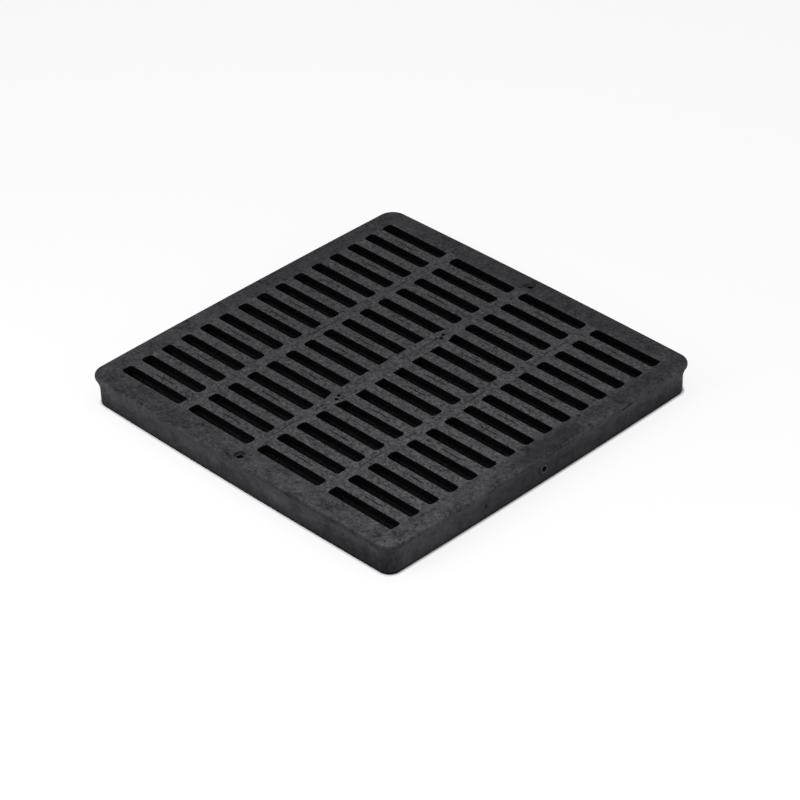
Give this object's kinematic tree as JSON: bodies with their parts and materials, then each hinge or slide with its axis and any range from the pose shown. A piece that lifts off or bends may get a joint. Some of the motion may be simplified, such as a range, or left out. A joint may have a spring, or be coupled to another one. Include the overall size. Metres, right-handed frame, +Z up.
{
  "type": "gully grate",
  "caption": "Square black moulded plastic gully grate: rows of straight slots in a plate with a rounded lip, ribs below, a drop-in skirt and sunk screw holes.",
  "frame": {"origin": "centre of the skirt's bottom rim, on the plane that it stands on", "axes": "+Z up, out of the slotted top; +X along the slots; +Y across them, through the two screw holes"},
  "size_m": [0.3, 0.3, 0.025],
  "materials": {
    "black_foam_plastic": "matte"
  },
  "bodies": {
    "root": {"grate": "black_foam_plastic"}
  },
  "joints": []
}
